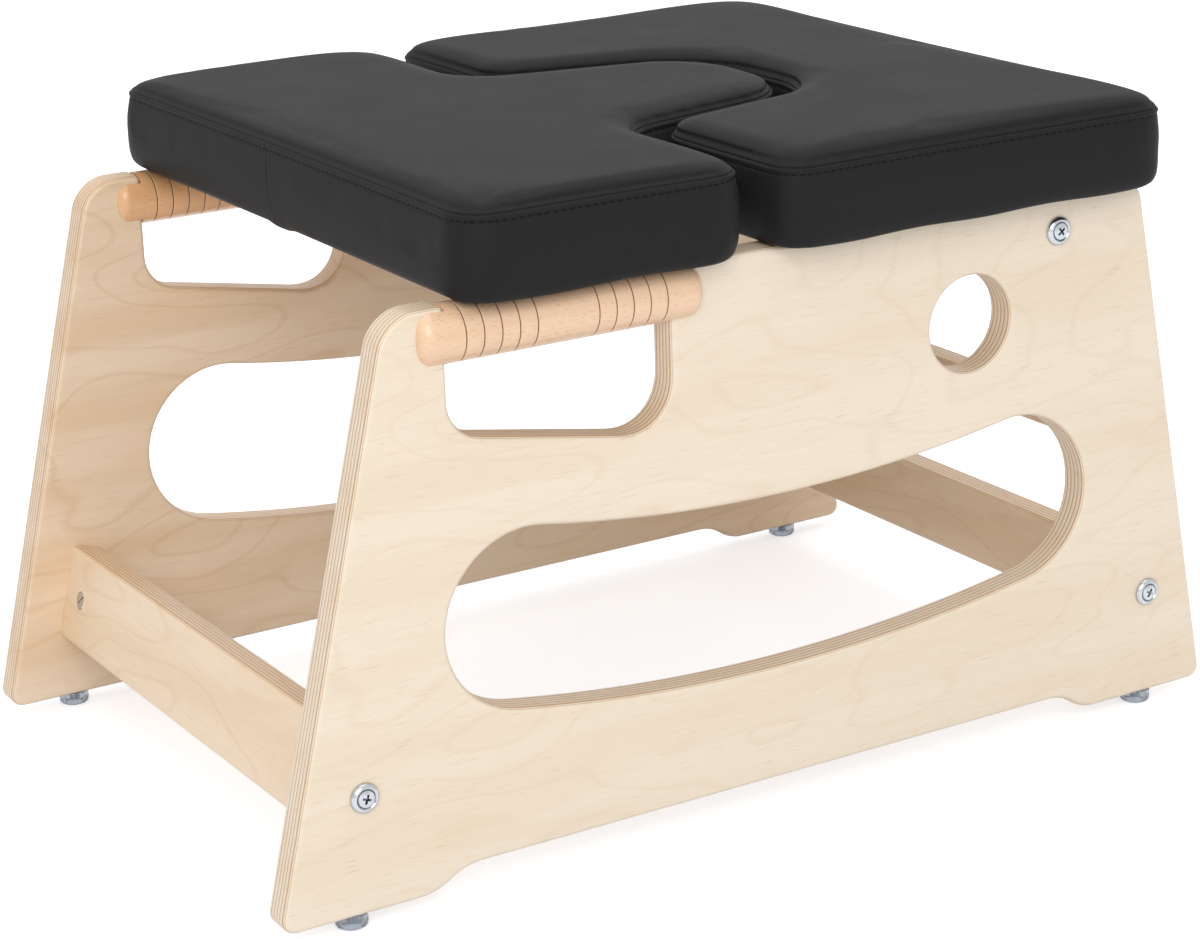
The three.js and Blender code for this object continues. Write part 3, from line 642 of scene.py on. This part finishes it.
beech_wood, given, result = group_of(
    "beech",
    [("Vector", "Vector", None), ("Light", "Color", (0.7, 0.4, 0.22, 1)),
     ("Dark", "Color", (0.5, 0.25, 0.12, 1))],
    [("Color", "Color"), ("Roughness", "Float"), ("Height", "Float")],
)
streaks = noise(beech_wood, stretched(beech_wood, given["Vector"], (6, 90, 90)), 1.0, 5.0, 0.6)
ray_cells = stretched(beech_wood, given["Vector"], (180, 1100, 1100))
rays = add(beech_wood, "ShaderNodeTexVoronoi", {"Vector": ray_cells, "Scale": 1.0}).outputs["Distance"]
flecks = add(beech_wood, "ShaderNodeMapRange", {0: rays, 1: 0.30, 2: 0.12}, clamp=True).outputs[0]
fine = noise(beech_wood, stretched(beech_wood, given["Vector"], (60, 1400, 1400)), 1.0, 3.0)
coloured = layered(beech_wood, given["Light"], [
    (streaks, 1.0, given["Dark"], "MIX"),
    (fine, 0.4, (0.85, 0.74, 0.64, 1), "MULTIPLY"),
    (flecks, 0.45, (0.50, 0.27, 0.14, 1), "MIX"),
])
beech_wood.links.new(coloured, result["Color"])
beech_wood.links.new(number(beech_wood, "MULTIPLY_ADD", fine, 0.2, 0.30), result["Roughness"])
beech_wood.links.new(number(beech_wood, "SUBTRACT", fine, flecks), result["Height"])


def beech_material(name, light, dark, coat, axis=None):
    """Beech with its grain along X. Round an axis, what lies deeper than the rod's skin is burnt dark."""
    made, tree, shader = material(name)
    place = add(tree, "ShaderNodeTexCoord").outputs["Object"]
    wood = add(tree, "ShaderNodeGroup", {}, node_tree=beech_wood)
    tree.links.new(place, wood.inputs["Vector"])
    wood.inputs["Light"].default_value = light
    wood.inputs["Dark"].default_value = dark
    colour = wood.outputs["Color"]
    if axis:
        offset = add(tree, "ShaderNodeVectorMath", {0: place, 1: axis}, operation="SUBTRACT").outputs[0]
        radial = stretched(tree, offset, (0, 1, 1))
        radius = add(tree, "ShaderNodeVectorMath", {0: radial}, operation="LENGTH").outputs["Value"]
        along = add(tree, "ShaderNodeSeparateXYZ", {0: offset}).outputs["X"]
        between = number(tree, "LESS_THAN", number(tree, "ABSOLUTE", along), grooved_half)
        deep = add(tree, "ShaderNodeMapRange",
                   {0: radius, 1: grip_radius - burn_start, 2: grip_radius - burn_full},
                   clamp=True).outputs[0]
        burnt = number(tree, "MULTIPLY", deep, between)
        colour = blended(tree, burnt, colour, (0.22, 0.09, 0.04, 1))
    tree.links.new(colour, shader.inputs["Base Color"])
    tree.links.new(wood.outputs["Roughness"], shader.inputs["Roughness"])
    tree.links.new(bump(tree, wood.outputs["Height"], 0.00005), shader.inputs["Normal"])
    shader.inputs["Coat Weight"].default_value = coat
    shader.inputs["Coat Roughness"].default_value = 0.12
    return made


def fork_cutter(start, end, middle):
    """A block a little thicker than the panel, which opens the fork in a rod's end."""
    alone()
    bpy.ops.mesh.primitive_cube_add(size=1, location=((start + end) / 2, middle, grip_height))
    tool = bpy.context.object
    tool.scale = (end - start, ply + 2 * fork_gap, fork_height * grip_radius)
    return tool


for side_name, side in sides.items():
    axis_y = side * (panel_middle + grip_outset)
    rod = turned(f"rod_{side_name}", grip_profile(), 72)
    rod.data.transform(Matrix.Translation((0, axis_y, grip_height)) @ Matrix.Rotation(pi / 2, 4, "Y"))
    carve(rod, [fork_cutter(grip_front - fork_overrun, notch_ends[0] + fork_gap, side * panel_middle),
                fork_cutter(notch_ends[1] - fork_gap, grip_rear + fork_overrun, side * panel_middle)])
    smooth(rod, radians(45))
    varnished = beech_material(f"varnished_beech_{side_name}", *rod_tones_far_shaded[side_name], 0.7,
                               ((notch_ends[0] + notch_ends[1]) / 2, axis_y, grip_height))
    placed(rod, varnished, "frame", "beech", f"grip_{side_name}")

# Cushions
# Each is a plywood board with a firm foam block in a cover of grained black leatherette. A top
# panel is sewn to an upright band with a row of top stitching below the seam, and the band is
# stapled under the board. The rear one is fixed and the front one with its tongue lifts off.
cushion_floor = 0.310
cushions = {
    "rear": {
        "body": "frame", "seam": 0.0425, "rise": 0.0073, "run": 0.0104, "draw_in": 0.0006,
        "hem_in": 0.0050, "hem_roll": 0.010,
        "corners": [
            (0.12245, -0.05788, 0.059), (-0.00755, -0.08965, 0.022), (-0.00755, -0.2072, 0.018),
            (0.24722, -0.2072, 0.022), (0.24722, 0.2072, 0.022), (-0.00755, 0.2072, 0.018),
            (-0.00755, 0.08965, 0.022), (0.12245, 0.05788, 0.059),
        ],
    },
    "front": {
        "body": "front_cushion", "seam": 0.0446, "rise": 0.0054, "run": 0.0088, "draw_in": 0.0020,
        "hem_in": 0.0065, "hem_roll": 0.013,
        "corners": [
            (-0.19005, -0.2057, 0.022), (-0.02355, -0.2057, 0.024), (-0.02355, -0.0843, 0.028),
            (0.11145, -0.0513, 0.050), (0.11145, 0.0513, 0.050), (-0.02355, 0.0843, 0.028),
            (-0.02355, 0.2057, 0.024), (-0.19005, 0.2057, 0.022),
        ],
    },
}
outer_corner = 0.15
join_side = 0.05
side_pull_in = 0.0012
side_zone = 0.030
crown_start = 0.004
crown_fullness = 0.0007
corner_sink = 0.0020
corner_zone = 0.032
hem_width = 0.0245
first_lift = 0.010
fine_voxel = 0.004
board_grip = 0.004
swell_cap = 0.0010
cloth_feel = {
    "quality": 5, "mass": 0.3, "use_pressure": True, "uniform_pressure_force": 4, "tension_stiffness": 60,
    "compression_stiffness": 60, "shear_stiffness": 20, "bending_stiffness": 8,
}
cloth_frames = 20
seam_rings = (-0.0050, -0.0042, -0.0034, -0.0027, -0.0020, -0.0014, -0.0008, -0.0004, 0, 0.0004, 0.0009,
              0.0015, 0.0022, 0.0030, 0.0039, 0.0049)
# Crease, lip, fullness of the band and stitched line: pull, level above the seam and half height
seam_pulls = ((0.0003, 0, 0.0004), (-0.0007, -0.0015, 0.0011), (-0.0007, -0.014, 0.008),
              (0.0005, -0.0034, 0.0008))
ledge_pull = 0.0017
ledge_level = 0.40
ledge_half = 0.22
stitch_pitch = 0.0046
stitch_drop = 0.0034
stitch_half = (0.00155, 0.00045, 0.00065)
join_lean = 0.29
join_foot = -0.0905
band_front = -0.178


def leatherette_material(name, seam):
    made, tree, shader = material(name)
    place = add(tree, "ShaderNodeTexCoord").outputs["Object"]
    cells = add(tree, "ShaderNodeTexVoronoi", {"Vector": place, "Scale": 1150.0, "Smoothness": 0.6},
                feature="SMOOTH_F1").outputs["Distance"]
    creases = noise(tree, place, 520.0, 4.0, 0.6)
    broad = noise(tree, place, 22.0, 3.0)
    grain = number(tree, "ADD", number(tree, "MULTIPLY", cells, 0.7), number(tree, "MULTIPLY", creases, 0.6))
    parts = add(tree, "ShaderNodeSeparateXYZ", {0: place}).outputs
    from_seam = number(tree, "ABSOLUTE", number(tree, "SUBTRACT", parts["Z"], seam))
    crease = add(tree, "ShaderNodeMapRange", {0: from_seam, 1: 0.0005, 2: 0.0001}, clamp=True).outputs[0]
    join_line = number(tree, "MULTIPLY_ADD", parts["Z"], join_lean, join_foot)
    from_join = number(tree, "ABSOLUTE", number(tree, "SUBTRACT", parts["Y"], join_line))
    join = add(tree, "ShaderNodeMapRange", {0: from_join, 1: 0.0008, 2: 0.0002}, clamp=True).outputs[0]
    at_front = number(tree, "LESS_THAN", parts["X"], band_front)
    low = number(tree, "LESS_THAN", parts["Z"], seam)
    join = number(tree, "MULTIPLY", number(tree, "MULTIPLY", join, at_front), low)
    line = number(tree, "MAXIMUM", crease, join)
    coloured = layered(tree, (0.0180, 0.0180, 0.0187, 1), [
        (broad, 0.5, (0.0228, 0.0228, 0.0236, 1), "MIX"),
        (cells, 0.35, (0.0120, 0.0120, 0.0126, 1), "MIX"),
        (line, 0.5, (0.003, 0.003, 0.003, 1), "MIX"),
    ])
    tree.links.new(coloured, shader.inputs["Base Color"])
    rough = number(tree, "MULTIPLY_ADD", broad, 0.10, 0.42)
    tree.links.new(number(tree, "MULTIPLY_ADD", creases, 0.12, rough), shader.inputs["Roughness"])
    fine = bump(tree, grain, 0.00010, 0.8)
    seams = add(tree, "ShaderNodeBump", {"Height": line, "Distance": 0.0003, "Strength": 1.0, "Normal": fine},
                invert=True)
    tree.links.new(seams.outputs[0], shader.inputs["Normal"])
    shader.inputs["Specular IOR Level"].default_value = 0.07
    return made


def thread_material():
    made, tree, shader = material("black_thread")
    place = add(tree, "ShaderNodeTexCoord").outputs["Object"]
    twist = add(tree, "ShaderNodeTexWave",
                {"Vector": place, "Scale": 1400.0, "Distortion": 2.0}).outputs["Fac"]
    dyed = blended(tree, twist, (0.003, 0.003, 0.003, 1), (0.008, 0.008, 0.009, 1))
    tree.links.new(dyed, shader.inputs["Base Color"])
    tree.links.new(number(tree, "MULTIPLY_ADD", twist, 0.2, 0.5), shader.inputs["Roughness"])
    tree.links.new(bump(tree, twist, 0.00005), shader.inputs["Normal"])
    shader.inputs["Specular IOR Level"].default_value = 0.12
    return made


def face_up(piece, sign):
    """The one face that looks straight up, or down, is selected in edit mode."""
    edit(piece, "FACE")
    leave()
    best = max(piece.data.polygons, key=lambda face: (round(sign * face.normal.z, 3), face.area))
    best.select = True
    bpy.ops.object.mode_set(mode="EDIT")


def inset_along(angles, run, rise):
    """Insets that follow an ellipse: each goes further in along its run and further out along its rise."""
    last = (0.0, 0.0)
    for angle in angles:
        there = (run * (1 - cos(angle)), rise * sin(angle))
        bpy.ops.mesh.inset(thickness=there[0] - last[0], depth=there[1] - last[1])
        last = there


def cushion_form(name, size):
    """The cover's plain form: the outline raised to the seam, a crown above it and a rolled hem below."""
    piece = plate(name, size["corners"], lambda x, y: (x, y, cushion_floor + size["hem_roll"]))
    outline = [piece.data.vertices[i].co.copy() for i in piece.data.polygons[0].vertices]
    thicken(piece, (0, 0, first_lift))
    face_up(piece, 1)
    bpy.ops.mesh.inset(thickness=size["draw_in"], depth=size["seam"] - size["hem_roll"] - first_lift)
    inset_along([step * pi / 8 for step in (1, 2, 3, 4)], size["run"], size["rise"])
    leave()
    face_up(piece, -1)
    inset_along([step * pi / 6 for step in (1, 2, 3)], size["hem_in"], size["hem_roll"])
    leave()
    return piece, outline


def coordinates_of(piece):
    flat = np.empty(len(piece.data.vertices) * 3)
    piece.data.vertices.foreach_get("co", flat)
    return flat.reshape(-1, 3)


def set_coordinates(piece, points):
    piece.data.vertices.foreach_set("co", points.ravel())
    piece.data.update()


def padded_by_cloth(piece, cap):
    """Cloth with air pressure swells the cover off its board. No point moves further than the cap."""
    finish(piece, "REMESH", mode="VOXEL", voxel_size=fine_voxel)
    finish(piece, "SMOOTH", factor=0.5, iterations=1)
    before = coordinates_of(piece)
    board = piece.vertex_groups.new(name="board")
    held = [int(i) for i in np.flatnonzero(before[:, 2] < cushion_floor + board_grip)]
    board.add(held, 1.0, "REPLACE")
    alone(piece)
    cloth = piece.modifiers.new("padding", "CLOTH")
    for key, value in cloth_feel.items():
        setattr(cloth.settings, key, value)
    cloth.settings.vertex_group_mass = "board"
    cloth.settings.effector_weights.gravity = 0
    cloth.point_cache.frame_start = 1
    cloth.point_cache.frame_end = cloth_frames
    for moment in range(1, cloth_frames + 1):
        bpy.context.scene.frame_set(moment)
    bpy.ops.object.modifier_apply(modifier=cloth.name)
    bpy.context.scene.frame_set(1)
    piece.vertex_groups.clear()
    moved = coordinates_of(piece) - before
    far = np.linalg.norm(moved, axis=1, keepdims=True)
    set_coordinates(piece, before + moved * np.minimum(1.0, cap / np.maximum(far, 1e-9)))
    finish(piece, "SMOOTH", factor=0.5, iterations=1)
    finish(piece, "SUBSURF", levels=1, render_levels=1)


def settle(piece, size):
    """The sides pull in a little between the corners, and the crown sinks a little towards each outer one."""
    points = coordinates_of(piece)
    outer = np.array([(x, y) for x, y, _ in size["corners"] if abs(y) > outer_corner])
    for across in (0, 1):
        low, high = outer[:, 1 - across].min(), outer[:, 1 - across].max()
        share = np.clip((points[:, 1 - across] - low) / (high - low), 0, 1)
        for side, turn in ((outer[:, across].min(), 1), (outer[:, across].max(), -1)):
            if abs(side) > join_side:
                near_side = np.clip(1 - np.abs(points[:, across] - side) / side_zone, 0, 1)
                points[:, across] += turn * side_pull_in * near_side * np.sin(pi * share) ** 2
    above = np.clip((points[:, 2] - cushion_floor - size["seam"]) / crown_start, 0, 1)
    drop = np.full(len(points), crown_fullness)
    for x, y in outer:
        drop -= corner_sink * np.exp(-((np.hypot(points[:, 0] - x, points[:, 1] - y) / corner_zone) ** 2))
    points[:, 2] += above * drop
    set_coordinates(piece, points)


def draw_in_seam(piece, seam, crown):
    """Rings are cut close to the seam. The thread pulls the cover in, between a lip and a narrow ledge."""
    edit(piece)
    for rise in seam_rings:
        bpy.ops.mesh.select_all(action="SELECT")
        bpy.ops.mesh.bisect(plane_co=(0, 0, seam + rise), plane_no=(0, 0, 1))
    leave()
    points = coordinates_of(piece)
    normals = np.empty(len(piece.data.vertices) * 3)
    piece.data.vertices.foreach_get("normal", normals)
    flat = normals.reshape(-1, 3) * (1, 1, 0)
    rise = points[:, 2] - seam
    pull = 0
    for reach, level, half in (*seam_pulls, (ledge_pull, ledge_level * crown, ledge_half * crown)):
        pull = pull + reach * np.exp(-(((rise - level) / half) ** 2))
    set_coordinates(piece, points - flat * pull[:, None])


def sag_at_join(piece):
    """Below the join in the front band the cover hangs a little lower between the panels."""
    depth, middle, half_width = 0.0013, 0.0035, 0.011
    start, run, top, fade = -0.172, 0.008, 0.016, 0.014
    points = coordinates_of(piece)
    near_front = np.clip((start - points[:, 0]) / run, 0, 1)
    low = np.clip((cushion_floor + top - points[:, 2]) / fade, 0, 1)
    points[:, 2] -= depth * near_front * low * np.exp(-(((points[:, 1] - middle) / half_width) ** 4))
    set_coordinates(piece, points)


def slack_hem(piece):
    """Outside the panels, where nothing carries it, the hem hangs in slight waves."""
    depth, wave_length, phase = 0.0010, 0.085, 5.2
    start, run, top, fade = 0.189, 0.006, 0.012, 0.010
    points = coordinates_of(piece)
    outside = np.clip((np.abs(points[:, 1]) - start) / run, 0, 1)
    low = np.clip((cushion_floor + top - points[:, 2]) / fade, 0, 1)
    wave = 0.5 + 0.5 * np.sin(points[:, 0] * 2 * pi / wave_length + phase)
    points[:, 2] -= depth * outside * low * wave
    set_coordinates(piece, points)


def open_underside(piece, outline):
    """Inside the hem the cover is open: its underside ramps up until it lies behind the board's face."""
    skin, ramp_start, ramp_run, top = 0.003, 0.004, 0.008, 0.0045
    points = coordinates_of(piece)
    edge = np.array([(p.x, p.y) for p in outline])
    start, end = edge, np.roll(edge, -1, axis=0)
    low = points[:, 2] < cushion_floor + skin
    chosen = points[low][:, None, :2]
    along = end - start
    share = np.clip(((chosen - start) * along).sum(2) / (along**2).sum(1), 0, 1)
    gap = np.linalg.norm(start + share[..., None] * along - chosen, axis=2).min(1)
    ramp = np.clip((gap - hem_width + ramp_start) / ramp_run, 0, 1)
    points[low, 2] += ramp * (cushion_floor + top - points[low, 2])
    set_coordinates(piece, points)


def stitches(name, piece, outline, level):
    """A row of short stitches round the band, each a small rounded bar half sunk in the leatherette."""
    outside, ray_length, shortest = 0.010, 0.03, 1e-7
    alone()
    bpy.ops.mesh.primitive_ico_sphere_add(subdivisions=1, radius=1)
    bead = bpy.context.object
    bead.data.transform(Matrix.Diagonal((*stitch_half, 1)))
    shape = coordinates_of(bead)
    bead_faces = [tuple(face.vertices) for face in bead.data.polygons]
    bpy.data.objects.remove(bead)
    surface = BVHTree.FromPolygons([vertex.co for vertex in piece.data.vertices],
                                   [face.vertices for face in piece.data.polygons])
    vertices, faces = [], []
    carried = 0.0
    for start, end in zip(outline, outline[1:] + outline[:1]):
        start, end = start.to_2d(), end.to_2d()
        length = (end - start).length
        if length < shortest:
            continue
        along = (end - start) / length
        outward = Vector((along.y, -along.x))
        while carried < length:
            spot = start + along * carried
            origin = Vector((*(spot + outward * outside), level))
            hit = surface.ray_cast(origin, Vector((-outward.x, -outward.y, 0)), ray_length)[0]
            if hit:
                turn = Matrix(((along.x, outward.x, 0), (along.y, outward.y, 0), (0, 0, 1)))
                base = len(vertices)
                for point in shape:
                    vertices.append(hit + turn @ Vector(point))
                faces += [tuple(base + i for i in face) for face in bead_faces]
            carried += stitch_pitch
        carried -= length
    mesh = bpy.data.meshes.new(name)
    mesh.from_pydata(vertices, [], faces)
    row = linked(name, mesh)
    alone(row)
    bpy.ops.object.mode_set(mode="EDIT")
    bpy.ops.mesh.select_all(action="SELECT")
    bpy.ops.mesh.normals_make_consistent(inside=False)
    leave()
    bpy.ops.object.shade_smooth()
    return row


thread = thread_material()
for place, size in cushions.items():
    seam = cushion_floor + size["seam"]
    body = size["body"]
    leatherette = leatherette_material(f"{place}_leatherette", seam)
    cover, outline = cushion_form(f"{place}_cushion", size)
    padded_by_cloth(cover, swell_cap)
    settle(cover, size)
    draw_in_seam(cover, seam, size["rise"])
    open_underside(cover, outline)
    slack_hem(cover)
    if place == "front":
        sag_at_join(cover)
    alone(cover)
    bpy.ops.object.shade_smooth()
    placed(cover, leatherette, body, "leatherette", f"{place}_cushion_cover", f"{place}_cushion_foam")
    row = stitches(f"{place}_stitches", cover, outline, seam - stitch_drop)
    row.data.materials.append(thread)
    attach(row, body)

# Dowels, battens, boards and screws
# Beech dowels sit in the rail ends, and the lift-off cushion has two beech battens below it.
# The boards inside both cushions are bare plywood, and the screws are the same zinc-plated steel.
# These are the frame's own solids, which only get their finish here.
board_middle = cushion_floor + 0.0079
bare_ply = plywood_material("bare_board", (0, 0, board_middle), ((pi / 2, 0, 0),),
                            (0.62, 0.46, 0.29, 1), (0.42, 0.27, 0.15, 1), 1.0)
bare_beech = beech_material("bare_beech", (0.66, 0.43, 0.25, 1), (0.54, 0.32, 0.17, 1), 0.0)
own_finish = {"dowel_beech": bare_beech, "zinc": zinc, "cushion_board": bare_ply}
for part in frame["record"]["subparts"]:
    if part["material_slot"] in own_finish:
        for holder in frame["nodes"][part["node"]].material_slots:
            holder.material = own_finish[part["material_slot"]]

# Floor, light and camera
# A plain white floor keeps the soft shadow. Two broad lamps and a white surround, a little brighter
# behind the stool, light it. The camera stands where a fit to the photograph puts it.


def seen_directly(tree):
    """One where a camera, glossy or transmission ray arrives, and nought elsewhere."""
    ray = add(tree, "ShaderNodeLightPath").outputs
    seen = number(tree, "MAXIMUM", ray["Is Camera Ray"], ray["Is Glossy Ray"])
    return number(tree, "MAXIMUM", seen, ray["Is Transmission Ray"])


alone()
bpy.ops.mesh.primitive_plane_add(size=14, location=(0, 0, 0))
floor = bpy.context.object
floor.name = "floor"
white, tree, shader = material("floor_white")
shader.inputs["Base Color"].default_value = (0.76, 0.785, 0.825, 1)
shader.inputs["Roughness"].default_value = 0.9
shader.inputs["Emission Color"].default_value = (1, 1, 1, 1)
tree.links.new(number(tree, "MULTIPLY", seen_directly(tree), 0.55), shader.inputs["Emission Strength"])
floor.data.materials.append(white)

world = bpy.data.worlds.new("surround")
bpy.context.scene.world = world
world.use_nodes = True
tree = world.node_tree
towards = add(tree, "ShaderNodeTexCoord").outputs["Generated"]
behind = add(tree, "ShaderNodeVectorMath", {0: towards, 1: (0.5, 0.8, -0.1)},
             operation="DOT_PRODUCT").outputs["Value"]
room = add(tree, "ShaderNodeMapRange", {0: behind, 1: -0.5, 2: 0.7, 3: 0.68, 4: 0.86}, clamp=True).outputs[0]
background = tree.nodes["Background"]
background.inputs["Color"].default_value = (1, 1, 1, 1)
tree.links.new(number(tree, "MAXIMUM", seen_directly(tree), room), background.inputs["Strength"])


def lamp(name, place, target, size, power):
    """A round area light that shines from a place on a target."""
    data = bpy.data.lights.new(name, "AREA")
    data.shape = "DISK"
    data.size = size
    data.energy = power
    made = linked(name, data)
    made.location = place
    made.rotation_euler = (Vector(target) - Vector(place)).to_track_quat("-Z", "Y").to_euler()


lamp("key", (-1.3, -2.0, 1.6), (0, 0, 0.2), 1.8, 26)
lamp("overhead", (0.3, 0.2, 2.8), (0, 0, 0.2), 2.6, 20)

camera = linked("camera", bpy.data.cameras.new("camera"))
camera.data.sensor_width = 36
camera.data.lens = 92.86
camera.data.clip_end = 60
right = Vector((0.85053, -0.52527, -0.02630))
down = Vector((-0.18493, -0.25187, -0.94994))
forward = Vector((0.49235, 0.81280, -0.31136))
stand = Matrix.Translation((-0.86627, -1.4388, 0.6918))
camera.matrix_world = stand @ Matrix((right, -down, -forward)).transposed().to_4x4()
bpy.context.scene.camera = camera
bpy.context.scene.view_settings.view_transform = "Standard"
